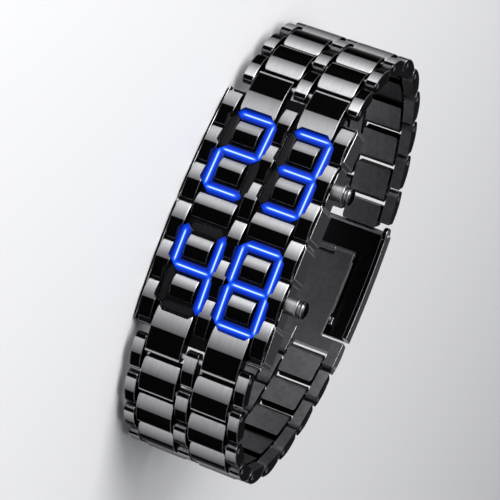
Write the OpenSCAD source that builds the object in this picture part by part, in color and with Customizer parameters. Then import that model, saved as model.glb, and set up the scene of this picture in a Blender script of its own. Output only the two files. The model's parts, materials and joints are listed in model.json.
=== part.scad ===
// Bracelet watch with a curved front of metal blocks and four lit numerals.
// It lies on its 9 o'clock side: +Z is the 3 o'clock side, -X is 12 o'clock and the front faces -Y.

/* [Case] */
// Width of the case across the wrist
case_w = 28; // [27.6:0.2:30]
// Radius of the curved front along the wrist
front_r = 101; // [96:1:112]
// Depth of the case's side walls at the middle
case_d = 7.8; // [7.8:0.1:9]
// Radius of the gently hollow back
back_r = 190; // [170:5:230]
// Half of the case middle's length along the wrist
case_half = 24.4; // [24.2:0.1:24.8]
// How far the bevelled side pads stand out
pad_t = 0.55; // [0.4:0.05:0.7]
// Run of the bevel at each end of a side pad
pad_bevel = 0.9; // [0.5:0.1:1.4]
// Depth of the side pads' front edge below the crowns
pad_d = 0.5; // [0.3:0.1:1]
// Length of the set-back place round a button
recess_len = 8.4; // [7:0.2:9.6]

/* [Front blocks] */
// Distance from one row of blocks to the next, on the case and on the bracelet
row_pitch = 8.1; // [8:0.05:8.3]
// Gap between one block and the next in a column
row_gap = 0.7; // [0.5:0.05:1]
// How far a block's crown stands above its ends
crown_rise = 0.9; // [0.6:0.05:1.1]
// Depth of the digit trenches below the crowns
floor_d = 1.4; // [1.2:0.1:1.6]
// Thickness of the plate under the trenches
plate_t = 0.9; // [0.8:0.05:1]
// Width of the outer small blocks on the case
edge_block_w = 2.9; // [2.6:0.1:3.2]
// Width of the middle small blocks on the case
centre_block_w = 2.6; // [2:0.1:2.8]
// How far a wide block at the end of the case lies inside the middle lines of the digits' uprights
end_block_in = 0.2; // [0.1:0.05:0.4]
// How much longer than a link's block those end blocks are
end_extra = 2.2; // [2:0.1:2.4]
// How far the raised block inside a digit's loop lies inside those lines
loop_block_in = 1.45; // [1.35:0.05:1.8]
// Length of the raised block inside a digit's loop
loop_block_len = 4.6; // [4:0.1:5]
// How far the bar between the upper and the lower digits reaches past those lines
bar_out = 0.15; // [0.05:0.05:0.45]
// Length of that bar along the wrist
bar_len = 5; // [4:0.1:5.4]

/* [Digits] */
// The two upper numerals
upper_number = 23; // [0:59]
// The two lower numerals
lower_number = 48; // [0:59]
// How far a digit stands outward of the middle of its space between the small blocks
digit_shift = 0.13; // [0.1:0.01:0.2]
// How much narrower than that space a digit is, between the middle lines of its uprights
digit_in = 1.3; // [1.2:0.05:1.6]
// Width of a segment window
window_w = 1.9; // [1.6:0.1:2]
// Space between the points of neighbouring segment windows
tip_gap = 0.5; // [0.4:0.05:0.8]
// Rim of trench round a segment window
trench_rim = 0.25; // [0.15:0.05:0.35]
// Depth of the segment lenses below the trench floor
lens_d = 0.15; // [0.1:0.05:0.3]

/* [Inside] */
// Diameter of a coin cell
cell_dia = 20;
// Thickness of a coin cell
cell_t = 1.6;
// Distance of a cell's middle from the case's middle, along the front
cell_s = 11; // [10.9:0.05:11.2]
// Depth of the cells' front faces below the crowns
cell_d = 4.55; // [4.5:0.01:4.6]
// Play round a cell in its pocket
cell_play = 0.4; // [0.2:0.05:0.5]
// Thickness of the light frame
light_t = 0.8; // [0.6:0.05:0.85]
// Thickness of the lamp board
board_t = 0.5; // [0.4:0.05:0.55]
// Length of a lamp chip
lamp_l = 1.6; // [1.2:0.1:2]
// Width of a lamp chip
lamp_w = 0.8; // [0.6:0.1:1]
// Height of a lamp chip
lamp_h = 0.5; // [0.3:0.05:0.55]
// Thickness of the back cover where it sits in the case
cover_seat = 0.7; // [0.6:0.05:0.8]
// How far the back cover stands out of the case
cover_proud = 0.5; // [0.3:0.05:0.7]
// Thickness of the gasket under the back cover
gasket_t = 0.4; // [0.3:0.05:0.45]
// Width of the gasket
gasket_w = 0.9; // [0.7:0.05:0.9]
// Diameter of a back screw's shank
screw_dia = 1; // [0.8:0.1:1.2]
// Diameter of a back screw's head
screw_head = 1.9; // [1.7:0.1:2.2]

/* [Buttons] */
// Depth of the buttons' axis below the crowns
button_d = 3.6; // [3.55:0.05:3.8]
// Diameter of a button's tube
tube_dia = 3.5; // [3.2:0.1:3.8]
// How far a tube stands out of the case
tube_len = 2.6; // [2.2:0.05:3]
// Diameter of the rim on a tube's end
rim_dia = 4.2; // [3.9:0.1:4.6]
// Diameter of a button's cap
cap_dia = 3.4; // [3.1:0.1:3.8]
// Length of a button's cap
cap_len = 1.1; // [1:0.1:1.6]
// Diameter of a button's stem
stem_dia = 1.3; // [1.1:0.1:1.4]
// How far a button is pressed
travel = 0.35; // [0.3:0.05:0.5]

/* [Bracelet] */
// Links in each half of the bracelet
links = 9; // [8:1:9]
// Thickness of a link
link_t = 3.2; // [3:0.1:3.3]
// Width of the outer small blocks of a link
small_w = 2.25; // [2:0.05:2.4]
// How far a side of the bracelet lies inside the case's side
band_in = 1.75; // [1.65:0.05:1.95]
// Width of the middle small block of a link
centre_w = 2.6; // [2.4:0.1:2.7]
// Gap between the columns of a link
col_gap = 0.5; // [0.4:0.05:0.55]
// Diameter of a link pin
pin_dia = 1.2; // [1:0.1:1.4]
// Radial play of a pin in its bore
pin_play = 0.03; // [0.02:0.005:0.05]
// Extra bend at the tightest part of the closed loop
bend_peak = 14; // [12:1:16]
// How many links that tight part spreads over
bend_spread = 3.2; // [3:0.1:3.4]

/* [Clasp] */
// Straight distance between the clasp's two end pins
clasp_chord = 30; // [28:0.5:34]
// Radius of the curved clasp
clasp_r = 75; // [70:1:90]
// Thickness of a clasp blade
blade_t = 0.8; // [0.7:0.05:0.85]
// Width of a clasp blade
blade_w = 14; // [12:0.5:16]
// Gap between the two folded blades
blade_gap = 0.25; // [0.2:0.05:0.3]
// Radius of the knuckles on the blades
blade_knuckle = 0.95; // [0.9:0.05:1]
// Diameter of the fold pins
fold_pin_dia = 0.8; // [0.6:0.05:0.9]
// Thickness of the clasp cover
skin_t = 0.85; // [0.7:0.05:1]
// Height of the cover's outside above the end pins
skin_top = 2.7; // [2.65:0.05:2.95]
// Thickness of the cover's side walls
cheek_t = 1; // [0.8:0.1:1.4]
// Distance of the fold pin from the end of the clasp
fold_end = 6.5; // [5.5:0.5:8]

/* [Hidden] */
$fn = 48;
arc_fn = 240;

eps = 0.02;
steel = "#1d1d20";
dark = "#111214";

// Across the wrist
mid_z = case_w / 2;
plate_z0 = pad_t + 0.05;
plate_z1 = case_w - plate_z0;
wide_w = mid_z - band_in - small_w - 2 * col_gap - centre_w / 2;
band_half = centre_w / 2 + col_gap + wide_w + col_gap + small_w;
centre_cols = [[mid_z - centre_w / 2, mid_z + centre_w / 2]];
outer_cols = [[mid_z - band_half, mid_z - band_half + small_w],
              [mid_z + band_half - small_w, mid_z + band_half]];
small_cols = concat(centre_cols, outer_cols);
wide_z = centre_w / 2 + col_gap;
wide_cols = [[mid_z - wide_z - wide_w, mid_z - wide_z], [mid_z + wide_z, mid_z + wide_z + wide_w]];

// Space for a digit between the small blocks, and what takes its width from it
space_w = mid_z - plate_z0 - edge_block_w - centre_block_w / 2;
digit_x = (centre_block_w + space_w) / 2 + digit_shift;
digit_w = space_w - digit_in;
loop_block_w = digit_w - 2 * loop_block_in;
bar_w = digit_w + 2 * bar_out;
end_block_w = digit_w - 2 * end_block_in;

// Depths below the crowns
plate_d = floor_d + plate_t;
board_d = plate_d + 0.05 + light_t + 0.05;
pocket_d = board_d + board_t + 0.5;
block_len = row_pitch - row_gap;
trench_w = window_w + 2 * trench_rim;
plate_half = 2.5 * row_pitch + block_len / 2 - 0.95;

// Pocket behind the front plate and outline of the back cover
pocket_half = 21.6;
pocket_z = 2.6;
cover_half = 22.3;
cover_z = 2.3;
fit_gap = 0.1;
screw_x = 19.6;
screw_z = 4.9;
screw_len = 1.7;
head_t = 0.5;

// Bracelet hinge
knuckle_r = link_t / 2 + 0.05;
pin_r = pin_dia / 2;
bore_r = pin_r + pin_play;
hinge_gap = 0.3;
end_a = (3 * row_pitch + row_pitch / 4 + end_extra) / front_r * 180 / PI;
end_pin = [(front_r - link_t / 2) * sin(end_a), front_r - (front_r - link_t / 2) * cos(end_a)];
web_in = 0.1;
web_half = digit_x - end_block_w / 2 + end_block_in;
web_end = end_pin[0] - knuckle_r - hinge_gap;

// Closed loop: each hinge bends by the same share, plus a bump round one link. The bump's place is
// found so that the last pin lands on the clasp's end pin.
clasp_half = asin(clasp_chord / 2 / clasp_r);
turn = 180 - end_a - clasp_half;
function total(v, i = 0) = i < len(v) ? v[i] + total(v, i + 1) : 0;
function bump(i, c) = bend_peak * exp(-pow((i - c) / bend_spread, 2));
function share(c) = (turn - total([for (i = [1:links + 1]) bump(i, c)])) / (links + 1);
function heading(n, c) = end_a + n * share(c) + total([for (i = [1:1:n]) bump(i, c)]);
function reach(c) = end_pin[0] + row_pitch * total([for (i = [1:links]) cos(heading(i, c))]);
function solve(lo, hi, n) = let (m = (lo + hi) / 2)
    n == 0 ? m : reach(m) > clasp_chord / 2 ? solve(lo, m, n - 1) : solve(m, hi, n - 1);
bump_at = solve(1, links + 1, 30);
HEADING = [for (i = [0:links]) heading(i, bump_at)];
PINS = [for (n = [0:links]) end_pin + row_pitch * [
    total([for (i = [1:1:n]) cos(HEADING[i])]),
    total([for (i = [1:1:n]) sin(HEADING[i])])]];
clasp_y = PINS[links][1] - clasp_r * cos(clasp_half);
loop_h = clasp_y + clasp_r + skin_top;

// Clasp
clasp_len = 2 * clasp_half * PI / 180 * clasp_r;
inner_off = -0.55 - blade_t;
outer_off = inner_off + blade_t + blade_gap;
fold_off = (inner_off + outer_off + blade_t) / 2;
cover_pin_off = outer_off + blade_knuckle + 0.1;
head_len = 5.2;
cover_start = head_len + row_gap + 0.5;
fold_u = clasp_len - fold_end;
cover_pin_u = cover_start + 3.1;
blade_z = [mid_z - blade_w / 2, mid_z + blade_w / 2];
tongue_z = [mid_z - blade_w / 5, mid_z + blade_w / 5];
side_gap = 0.2;
knuckle_clear = 0.35;
bar_r = pin_r;

// Which segments each numeral lights, in the order top, upper right, lower right, bottom, lower left,
// upper left, middle
NUMERALS = [
    [1, 1, 1, 1, 1, 1, 0], [0, 1, 1, 0, 0, 0, 0], [1, 1, 0, 1, 1, 0, 1], [1, 1, 1, 1, 0, 0, 1],
    [0, 1, 1, 0, 0, 1, 1], [1, 0, 1, 1, 0, 1, 1], [1, 0, 1, 1, 1, 1, 1], [1, 1, 1, 0, 0, 0, 0],
    [1, 1, 1, 1, 1, 1, 1], [1, 1, 1, 1, 0, 1, 1]];
// Place of each segment from its digit's middle, in half digits: along the wrist, across it
PLACES = [[-2, 0], [-1, 1], [1, 1], [2, 0], [1, -1], [-1, -1], [0, 0]];
// Each digit's side along the wrist and across it, and its numeral
DIGITS = [
    [-1, -1, floor(upper_number / 10)], [-1, 1, upper_number % 10],
    [1, -1, floor(lower_number / 10)], [1, 1, lower_number % 10]];

function degrees(s, r) = s / r * 180 / PI;

// Puts children on the curved front, s along it and d deep, with +Y inward
module on_front(s, d = 0) {
    a = degrees(s, front_r);
    translate([(front_r - d) * sin(a), front_r - (front_r - d) * cos(a), 0]) rotate([0, 0, a]) children();
}

// Puts children on the clasp, u along it from the lower end and off outward from its pins
module on_clasp(u, off = 0) {
    a = clasp_half - degrees(u, clasp_r);
    translate([(clasp_r + off) * sin(a), clasp_y + (clasp_r + off) * cos(a), 0]) rotate([0, 0, -a]) children();
}

// Draws an outline between two places across the wrist
module across(z) {
    translate([0, 0, z[0]]) linear_extrude(z[1] - z[0]) children();
}

// Turns an outline that lies on the front into a prism from depth d0 to d1
module inward(d0, d1) {
    rotate([-90, 0, 0]) translate([0, 0, d0]) linear_extrude(d1 - d0) children();
}

// Band that follows the front between two depths
module front_band(d0, d1, half) {
    intersection() {
        translate([0, front_r]) difference() {
            circle(front_r - d0, $fn = arc_fn);
            circle(front_r - d1, $fn = arc_fn);
        }
        translate([-half, -crown_rise]) square([2 * half, 3 * case_d]);
    }
}

// Band that follows the back, from t0 to t1 in front of it
module back_band(t0, t1, half) {
    intersection() {
        translate([0, case_d + back_r]) difference() {
            circle(back_r + t1, $fn = arc_fn);
            circle(back_r + t0, $fn = arc_fn);
        }
        translate([-half, 0]) square([2 * half, 3 * case_d]);
    }
}

// Band that follows the clasp between two offsets and two places
module clasp_band(off0, off1, u0, u1) {
    a0 = clasp_half - degrees(u0, clasp_r);
    a1 = clasp_half - degrees(u1, clasp_r);
    far = clasp_r * 1.2;
    translate([0, clasp_y]) intersection() {
        difference() {
            circle(clasp_r + off1, $fn = arc_fn);
            circle(clasp_r + off0, $fn = arc_fn);
        }
        polygon([[0, 0], [far * sin(a0), far * cos(a0)], [far * sin(a1), far * cos(a1)]]);
    }
}

// Side view of a block: a crown over straight ends, its top at y = 0
module crown(length, rise, depth) {
    r = (length * length / 4 + rise * rise) / (2 * rise);
    intersection() {
        translate([0, r]) circle(r);
        translate([-length / 2, 0]) square([length, depth]);
    }
}

// Flat hexagon of a segment window
module hexagon(length, width) {
    h = width / 2;
    l = length / 2;
    polygon([[-l, 0], [h - l, h], [l - h, h], [l, 0], [l - h, -h], [h - l, -h]]);
}

// Side view of a link's small block, from the pin at the origin
module small_side() {
    intersection() {
        translate([row_pitch / 4, -link_t / 2]) crown(block_len, crown_rise, link_t);
        union() {
            circle(knuckle_r);
            translate([0, -link_t]) square([row_pitch, 2 * link_t]);
        }
    }
}

// Side view of a link's wide block, which ends round the pin one pitch away; extra makes it longer
module wide_side(extra = 0) {
    intersection() {
        translate([row_pitch * 3 / 4 - extra / 2, -link_t / 2])
            crown(block_len + extra, crown_rise, link_t);
        union() {
            translate([row_pitch, 0]) circle(knuckle_r);
            translate([-extra, -link_t]) square([row_pitch + extra, 2 * link_t]);
        }
    }
}

// Every segment of every digit, as prisms between two depths; only = 1 or 0 picks lit or unlit
module segments(length_play, width, d0, d1, only = -1) {
    for (digit = DIGITS, i = [0:6]) {
        lit = NUMERALS[digit[2]][i];
        if (only < 0 || lit == only) {
            s = digit[0] * row_pitch * 1.5 + PLACES[i][0] * row_pitch / 2;
            z = mid_z + digit[1] * digit_x + PLACES[i][1] * digit_w / 2;
            upright = PLACES[i][1] != 0;
            length = (upright ? row_pitch : digit_w) - tip_gap + length_play;
            translate([0, 0, z]) on_front(s) inward(d0, d1)
                rotate(upright ? 0 : 90) hexagon(length, width);
        }
    }
}

module blocks() {
    row = row_pitch;
    edge_cols = [[plate_z0, plate_z0 + edge_block_w], [plate_z1 - edge_block_w, plate_z1]];
    centre_col = [mid_z - centre_block_w / 2, mid_z + centre_block_w / 2];
    bottom = plate_d - 0.3;
    for (k = [-2.5:1:2.5]) on_front(k * row) {
        for (z = edge_cols) across(z) crown(block_len, crown_rise, bottom);
        across(centre_col) crown(block_len, crown_rise, bottom);
    }
    for (side = [-1, 1]) {
        z = mid_z + side * digit_x;
        on_front(0) across([z - bar_w / 2, z + bar_w / 2]) crown(bar_len, crown_rise, bottom);
        for (k = [-2, -1, 1, 2])
            on_front(k * row) across([z - loop_block_w / 2, z + loop_block_w / 2])
                crown(loop_block_len, crown_rise, bottom);
    }
}

// The two wide blocks at the 6 o'clock end, which carry the bracelet's first hinge
module end_blocks() {
    tilt = degrees(row_pitch / 4 + end_extra / 2, front_r);
    for (side = [-1, 1]) {
        z = mid_z + side * digit_x;
        difference() {
            across([z - end_block_w / 2, z + end_block_w / 2])
                translate(end_pin) rotate(end_a - tilt) translate([-row_pitch, 0]) wide_side(end_extra);
            across([0, case_w]) front_band(plate_d, plate_d + 3, case_half + 0.05);
        }
    }
}

module end_bores() {
    for (side = [0, 1]) mirror([side, 0, 0])
        translate([end_pin[0], end_pin[1], 0]) cylinder(r = bore_r, h = case_w);
}

// The trench floor runs on past its ends as a web that joins the end blocks across the middle column
module front_plate() {
    color(steel) difference() {
        union() {
            across([plate_z0 + 0.1, plate_z1 - 0.1]) front_band(floor_d, plate_d, plate_half);
            across([mid_z - web_half, mid_z + web_half]) front_band(floor_d + web_in, plate_d - web_in, web_end);
            difference() {
                union() {
                    blocks();
                    end_blocks();
                    mirror([1, 0, 0]) end_blocks();
                }
                segments(2 * trench_rim, trench_w, -1, plate_d + 2);
            }
        }
        segments(0, window_w, 0, plate_d + 2);
        end_bores();
    }
}

module lit_segments() {
    color("#1450ff") segments(-2 * eps, window_w - 2 * eps, floor_d + lens_d, plate_d, 1);
}

module unlit_segments() {
    color("#2a2a2c") segments(-2 * eps, window_w - 2 * eps, floor_d + lens_d, plate_d, 0);
}

// Notches for the button stems in the edge of the light frame and the lamp board
module stem_notches() {
    for (side = [-1, 1]) on_front(side * row_pitch * 1.5)
        translate([-stem_dia / 2 - 0.2, 0, stem_tip - travel - 0.4]) cube([stem_dia + 0.4, 6, 3]);
}

module light_frame() {
    color("#d9d9d4") difference() {
        across([pocket_z + fit_gap, case_w - pocket_z - fit_gap])
            front_band(plate_d + 0.05, plate_d + 0.05 + light_t, pocket_half - fit_gap);
        segments(0, window_w, 0, board_d + 1);
        stem_notches();
    }
}

// The board, with its control chip on the back
module lamp_board() {
    chip = 4.4;
    color("#16351f") {
        difference() {
            across([pocket_z + fit_gap, case_w - pocket_z - fit_gap])
                front_band(board_d, board_d + board_t, pocket_half - fit_gap);
            stem_notches();
        }
        translate([-chip / 2, board_d + board_t + eps, 4]) cube([chip, 0.45, chip]);
    }
}

module lamp_chips() {
    color("#e9e4b8") for (digit = DIGITS, i = [0:6]) {
        upright = PLACES[i][1] != 0;
        size = upright ? [lamp_l, lamp_h, lamp_w] : [lamp_w, lamp_h, lamp_l];
        z = mid_z + digit[1] * digit_x + PLACES[i][1] * digit_w / 2;
        on_front(digit[0] * row_pitch * 1.5 + PLACES[i][0] * row_pitch / 2, board_d - lamp_h)
            translate([-size[0] / 2, 0, z - size[2] / 2]) cube(size);
    }
}

module coin_cells() {
    rim = 0.9;
    cap = 0.2;
    color("#b9bcc0") for (side = [-1, 1]) translate([0, 0, mid_z]) on_front(side * cell_s) {
        rotate([-90, 0, 0]) translate([0, 0, cell_d + cap]) cylinder(d = cell_dia, h = cell_t - cap);
        rotate([-90, 0, 0]) translate([0, 0, cell_d]) cylinder(d = cell_dia - 2 * rim, h = cell_t);
    }
}

strip_w = 1.6;
strip_l = 8;

// Strips that bring the cells' current to the board, and the leaves that the buttons touch
module contact_springs() {
    leaf = 0.15;
    foot = board_d + board_t;
    color("#c8a24a") {
        for (side = [-1, 1]) on_front(side * cell_s)
            translate([-strip_w / 2, foot + leaf, mid_z - strip_l / 2])
                cube([strip_w, cell_d - foot - leaf - eps, strip_l]);
        for (side = [-1, 1]) on_front(side * row_pitch * 1.5)
            translate([-strip_w / 2 + 0.2, button_d - 0.5, stem_tip - travel - 0.03 - leaf])
                cube([strip_w - 0.4, foot - button_d + 1, leaf]);
    }
}

// One side pad's plan, with bevelled ends, between two places along the wrist
module pad_plan(x0, x1) {
    polygon([[x0, eps], [x1, eps], [x1 - pad_bevel, -pad_t], [x0 + pad_bevel, -pad_t]]);
}

// Side pads, drawn standing out of the face at z = 0 toward -Z
module pads(stops) {
    intersection() {
        translate([0, 0, -2 * pad_t]) linear_extrude(4 * pad_t) difference() {
            translate([0, front_r]) circle(front_r - pad_d, $fn = arc_fn);
            translate([0, case_d + back_r]) circle(back_r, $fn = arc_fn);
            translate([-front_r, 2 * case_d]) square([2 * front_r, 2 * front_r]);
        }
        for (stop = stops) rotate([-90, 0, 0]) translate([0, 0, -case_d]) mirror([0, 1, 0])
            linear_extrude(4 * case_d) pad_plan(stop[0], stop[1]);
    }
}

module case_core() {
    across([pad_t, case_w - pad_t]) difference() {
        translate([0, front_r]) circle(front_r - plate_d, $fn = arc_fn);
        translate([0, case_d + back_r]) circle(back_r, $fn = arc_fn);
        for (side = [-1, 1]) translate([side * (case_half + front_r) - front_r, -case_d])
            square([2 * front_r, 3 * front_r]);
        translate([-front_r, 2 * case_d]) square([2 * front_r, 2 * front_r]);
    }
}

// Round pockets for the cells, joined in the middle, each with a slot for its contact strip
module cell_pockets() {
    for (side = [-1, 1]) translate([0, 0, mid_z]) on_front(side * cell_s)
        rotate([-90, 0, 0]) translate([0, 0, cell_d - 0.1])
            cylinder(d = cell_dia + 2 * cell_play, h = case_d);
    translate([-1.5, cell_d - 0.1, mid_z - 4]) cube([3, case_d, 8]);
    for (side = [-1, 1]) on_front(side * cell_s)
        translate([-strip_w / 2 - 0.2, pocket_d - 0.2, mid_z - strip_l / 2 - 0.2])
            cube([strip_w + 0.4, 1, strip_l + 0.4]);
}

module at_screws() {
    for (x = [-screw_x, screw_x], z = [screw_z, case_w - screw_z]) translate([x, 0, z]) children();
}

// Height of the back's surface at the screws, and of the underside of their heads
screw_y = case_d + back_r - sqrt(back_r * back_r - screw_x * screw_x);
head_y = screw_y + cover_proud - head_t - 0.3;

module case_middle() {
    button_x = row_pitch * 1.5;
    in_recess = recess_len / 2;
    notch = 0.1;
    right_pads = [
        [-case_half, -button_x - in_recess], [in_recess - button_x, -notch],
        [notch, button_x - in_recess], [button_x + in_recess, case_half]];
    left_pads = [[-case_half, -notch], [notch, case_half]];
    color(steel) difference() {
        union() {
            case_core();
            translate([0, 0, pad_t]) pads(left_pads);
            translate([0, 0, case_w - pad_t]) mirror([0, 0, 1]) pads(right_pads);
        }
        across([pocket_z, case_w - pocket_z]) front_band(plate_d - 1, pocket_d, pocket_half);
        cell_pockets();
        across([cover_z - fit_gap, case_w - cover_z + fit_gap])
            back_band(-3, cover_seat + gasket_t, cover_half + fit_gap);
        for (side = [0, 1]) mirror([side, 0, 0])
            translate([end_pin[0], end_pin[1], mid_z - band_half - 0.25])
                cylinder(r = knuckle_r + hinge_gap, h = 2 * band_half + 0.5);
        for (side = [-1, 1]) on_front(side * button_x, button_d)
            translate([0, 0, case_w - pocket_z - 1]) cylinder(d = spigot_dia, h = pocket_z + 2);
        at_screws() translate([0, head_y - screw_len - 0.1, 0])
            rotate([-90, 0, 0]) cylinder(d = screw_dia, h = screw_len + 2);
    }
}

module cover_outline(play, inset) {
    across([cover_z + play + inset, case_w - cover_z - play - inset]) children();
}

module back_gasket() {
    color("#26262a") difference() {
        cover_outline(0, 0) back_band(cover_seat, cover_seat + gasket_t, cover_half);
        cover_outline(0, gasket_w) back_band(-1, cover_seat + 3, cover_half - gasket_w);
    }
}

module back_cover() {
    color("#2b2b2f") difference() {
        cover_outline(0, 0) back_band(-cover_proud, cover_seat, cover_half);
        at_screws() translate([0, screw_y - 4, 0]) rotate([-90, 0, 0])
            cylinder(d = screw_dia + 0.1, h = 8);
        at_screws() translate([0, head_y, 0]) rotate([-90, 0, 0])
            cylinder(d = screw_head + 0.1, h = 4);
    }
}

module back_screws() {
    slot = 0.3;
    color("#6a6a70") at_screws() difference() {
        union() {
            translate([0, head_y, 0]) rotate([-90, 0, 0]) cylinder(d = screw_head, h = head_t);
            translate([0, head_y - screw_len, 0]) rotate([-90, 0, 0])
                cylinder(d = screw_dia - 2 * eps, h = screw_len + eps);
        }
        translate([-screw_head, head_y + head_t - 0.2, -slot / 2]) cube([2 * screw_head, 1, slot]);
    }
}

// Buttons: a tube pressed into the side wall, a sprung cap on a stem, a seal round the stem
spigot_dia = tube_dia - 1;
tube_base = case_w - pad_t;
tube_end = tube_base + tube_len;
rim_t = 0.35;
stem_bore = stem_dia + 0.08;
stem_tip = case_w - pocket_z + 0.05;
spring_bore = tube_dia - 0.8;
seal_r = 0.28;
seal_z = tube_base + 0.5;
spring_z = seal_z + 2 * seal_r + 0.05;

module at_button(side) {
    on_front(side * row_pitch * 1.5, button_d) children();
}

module button_tubes() {
    color("#55555a") for (side = [-1, 1]) at_button(side) difference() {
        union() {
            translate([0, 0, tube_base]) cylinder(d = tube_dia, h = tube_len);
            translate([0, 0, tube_end - rim_t]) cylinder(d = rim_dia, h = rim_t);
            translate([0, 0, case_w - pocket_z + 0.1])
                cylinder(d = spigot_dia - 2 * eps, h = pocket_z - pad_t);
        }
        translate([0, 0, 0]) cylinder(d = stem_bore, h = case_w + 20);
        translate([0, 0, seal_z]) cylinder(d = spring_bore, h = 20);
    }
}

module button(side) {
    tip_dia = 0.7;
    color("#3a3a3e") at_button(side) {
        translate([0, 0, tube_end + travel + 0.05]) {
            cylinder(d = cap_dia, h = cap_len - 0.25);
            translate([0, 0, cap_len - 0.25]) cylinder(d1 = cap_dia, d2 = cap_dia - 0.9, h = 0.25);
        }
        translate([0, 0, stem_tip + 0.6]) cylinder(d = stem_dia, h = tube_end + travel + 0.1 - stem_tip);
        translate([0, 0, stem_tip]) cylinder(d = tip_dia, h = 1);
    }
}

module upper_button() { button(-1); }
module lower_button() { button(1); }

// A return spring between the seal and the cap: closed turns of fine wire, drawn as a sleeve
module button_spring(side) {
    color("#9a9aa0") at_button(side) translate([0, 0, spring_z]) difference() {
        cylinder(d = spring_bore - 0.1, h = tube_end + travel + 0.03 - spring_z);
        translate([0, 0, -1]) cylinder(d = spring_bore - 0.6, h = 20);
    }
}

module upper_button_spring() { button_spring(-1); }
module lower_button_spring() { button_spring(1); }

module button_seals() {
    color("#2e2e31") for (side = [-1, 1]) at_button(side) translate([0, 0, seal_z + seal_r + eps])
        rotate_extrude() translate([stem_dia / 2 + seal_r + eps, 0]) circle(seal_r, $fn = 24);
}

// Puts a link-shaped piece at hinge i of the 6 o'clock half, turned along its link
module at_hinge(i) {
    translate([PINS[i - 1][0], PINS[i - 1][1], 0]) rotate([0, 0, HEADING[i]]) children();
}

// An open end stops short of the spring bar
module link(open_end = false) {
    spine = [row_pitch * 3 / 4 - block_len / 2, row_pitch / 4 + block_len / 2];
    spine_in = 0.55;
    color(steel) difference() {
        union() {
            for (z = small_cols) across(z) small_side();
            for (z = wide_cols) across(z) wide_side();
            across([mid_z - band_half, mid_z + band_half])
                translate([spine[0], spine_in - link_t / 2 + 0.4])
                    square([spine[1] - spine[0], link_t - 2 * spine_in - 0.4]);
        }
        cylinder(r = bore_r, h = case_w);
        translate([row_pitch, 0, 0]) cylinder(r = bore_r, h = case_w);
        if (open_end) translate([row_pitch - bar_r - hinge_gap, -link_t, 0])
            cube([row_pitch, 2 * link_t, case_w]);
    }
}

module upper_link(i) { mirror([1, 0, 0]) at_hinge(i) link(i == links); }
module lower_link(i) { at_hinge(i) link(); }

// The pin at the far end of link i, or at the case for i = 0
module hinge_pin(i) {
    color("#7d7d82") translate([PINS[i][0], PINS[i][1], mid_z - band_half + fit_gap])
        cylinder(r = pin_r, h = 2 * (band_half - fit_gap));
}

module end_pins() {
    for (side = [0, 1]) mirror([side, 0, 0]) hinge_pin(0);
}

module upper_pin(i) { mirror([1, 0, 0]) hinge_pin(i); }
module lower_pin(i) { hinge_pin(i); }

// Knuckles at a fold pin: one in the middle, or one on each side of it
middle_col = [tongue_z[0] + side_gap / 2, tongue_z[1] - side_gap / 2];
side_cols = [[blade_z[0], tongue_z[0] - side_gap / 2], [tongue_z[1] + side_gap / 2, blade_z[1]]];

module knuckle(u, off) {
    on_clasp(u, off) circle(blade_knuckle);
}

module fold_bore(u, off) {
    translate([0, 0, blade_z[0] - 0.1]) on_clasp(u, off)
        cylinder(d = fold_pin_dia + 2 * pin_play, h = blade_w + 0.2);
}

// Hinged on the last lower link, with the blade that lies next to the wrist
module clasp_inner_blade() {
    stop = blade_knuckle + knuckle_clear;
    spine_u = row_pitch * 3 / 4 - block_len / 2;
    color(steel) difference() {
        union() {
            intersection() {
                for (z = small_cols) across(z) on_clasp(0) rotate(180) small_side();
                across([0, case_w]) clasp_band(-2 * link_t, 2 * link_t, -link_t, head_len);
            }
            across([mid_z - band_half, mid_z + band_half]) clasp_band(inner_off, 0.9, spine_u, head_len);
            across(blade_z) clasp_band(inner_off, inner_off + blade_t, spine_u, fold_u - stop);
            for (z = side_cols) across(z) {
                clasp_band(inner_off, inner_off + blade_t, fold_u - 3 * blade_knuckle, fold_u);
                knuckle(fold_u, fold_off);
            }
        }
        on_clasp(0) cylinder(r = bore_r, h = case_w);
        fold_bore(fold_u, fold_off);
    }
}

module clasp_outer_blade() {
    stop = blade_knuckle + knuckle_clear;
    color(steel) difference() {
        union() {
            for (z = [[blade_z[0], middle_col[0]], [middle_col[1], blade_z[1]]]) across(z)
                clasp_band(outer_off, outer_off + blade_t, cover_pin_u + stop, fold_u - stop);
            across(middle_col) {
                clasp_band(outer_off, outer_off + blade_t, cover_pin_u, fold_u);
                knuckle(fold_u, fold_off);
                knuckle(cover_pin_u, cover_pin_off);
            }
        }
        fold_bore(fold_u, fold_off);
        fold_bore(cover_pin_u, cover_pin_off);
    }
}

module clasp_cover() {
    inside = skin_top - skin_t;
    cheek_low = -1;
    end = clasp_len;
    low = mid_z - band_half;
    high = mid_z + band_half;
    color(dark) difference() {
        union() {
            across([low + cheek_t, high - cheek_t]) clasp_band(inside, skin_top, cover_start, end - hinge_gap);
            for (z = [[low, low + cheek_t], [high - cheek_t, high]]) across(z) {
                clasp_band(cheek_low, skin_top, cover_start, end - hinge_gap);
                on_clasp(end) circle(link_t / 2 - 0.1);
            }
            for (z = side_cols) across(z) {
                knuckle(cover_pin_u, cover_pin_off);
                on_clasp(cover_pin_u) translate([-0.8, cover_pin_off])
                    square([1.6, inside + skin_t / 2 - cover_pin_off]);
            }
        }
        on_clasp(end) cylinder(r = bore_r, h = case_w);
        fold_bore(cover_pin_u, cover_pin_off);
    }
}

module blade_pin(u, off) {
    color("#7d7d82") translate([0, 0, blade_z[0]]) on_clasp(u, off)
        cylinder(d = fold_pin_dia, h = blade_w);
}

module fold_pin() { blade_pin(fold_u, fold_off); }
module cover_pin() { blade_pin(cover_pin_u, cover_pin_off); }

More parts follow.
